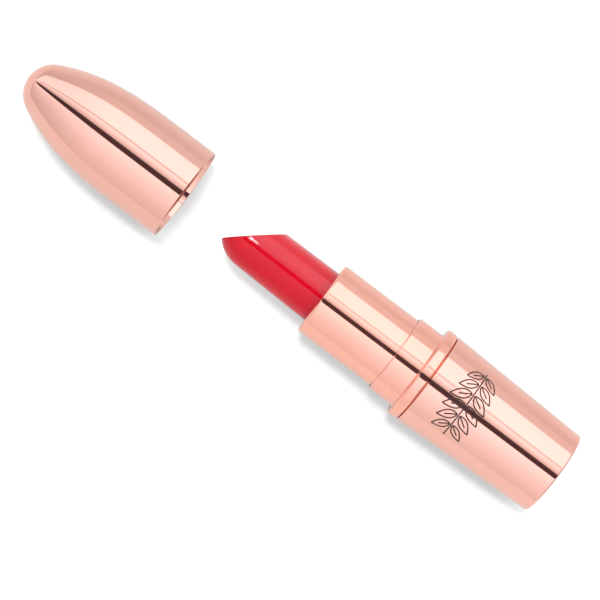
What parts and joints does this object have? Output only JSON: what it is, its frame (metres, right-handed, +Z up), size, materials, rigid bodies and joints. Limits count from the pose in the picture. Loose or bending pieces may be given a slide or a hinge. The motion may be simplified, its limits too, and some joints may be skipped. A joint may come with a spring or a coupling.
{
  "type": "lipstick case",
  "caption": "Twist-up lipstick with a bullet-nosed metal cap lying off in line, slanted wax bullet wound out of its sleeve, beaded collar and flared base.",
  "frame": {"origin": "on the surface the case lies on, midway between the cap's nose and the base's foot, under the long axis", "axes": "+X along the case from the cap's nose towards the base's foot, +Z up from the surface, +Y to the side that the bullet's slanted face looks towards"},
  "size_m": [0.1348, 0.0212, 0.0212],
  "materials": {
    "base_metal": "polished rose-gold anodised",
    "collar_metal": "polished rose-gold anodised",
    "sleeve_metal": "polished rose-gold anodised",
    "cap_metal": "polished rose-gold anodised",
    "cap_liner": "moulded",
    "inner_plastic": "moulded",
    "spiral_plastic": "moulded",
    "cup_plastic": "moulded",
    "weight_steel": "turned",
    "silicone": "matt",
    "label_film": "satin film",
    "red_wax": "satin moulded wax"
  },
  "bodies": {
    "base": {"base_shell": "base_metal", "base_insert": "inner_plastic", "base_weight": "weight_steel", "shade_label": "label_film", "snap_collar": "collar_metal", "collar_bush": "inner_plastic", "guide_tube": "inner_plastic", "friction_ring": "silicone"},
    "sleeve": {"outer_sleeve": "sleeve_metal", "spiral_tube": "spiral_plastic"},
    "carriage": {"bullet_cup": "cup_plastic", "bullet": "red_wax"},
    "cap": {"cap_shell": "cap_metal", "cap_liner": "cap_liner"}
  },
  "joints": [
    {"name": "sleeve_twist", "type": "hinge", "parent": "base", "child": "sleeve", "pos_m": [0, 0, 0.01059], "axis": [1, 0, 0], "range_deg": [0, 450]},
    {"name": "bullet_slide", "type": "slide", "parent": "base", "child": "carriage", "axis": [1, 0, 0], "range_m": [0, 0.0243]},
    {"name": "cap_slide", "type": "slide", "parent": "carriage", "child": "cap", "axis": [1, 0, 0], "range_m": [0, 0.0353]}
  ],
  "couplings": [
    {"joint": "sleeve_twist", "follows": "bullet_slide", "rad_per_m": 323.21}
  ]
}
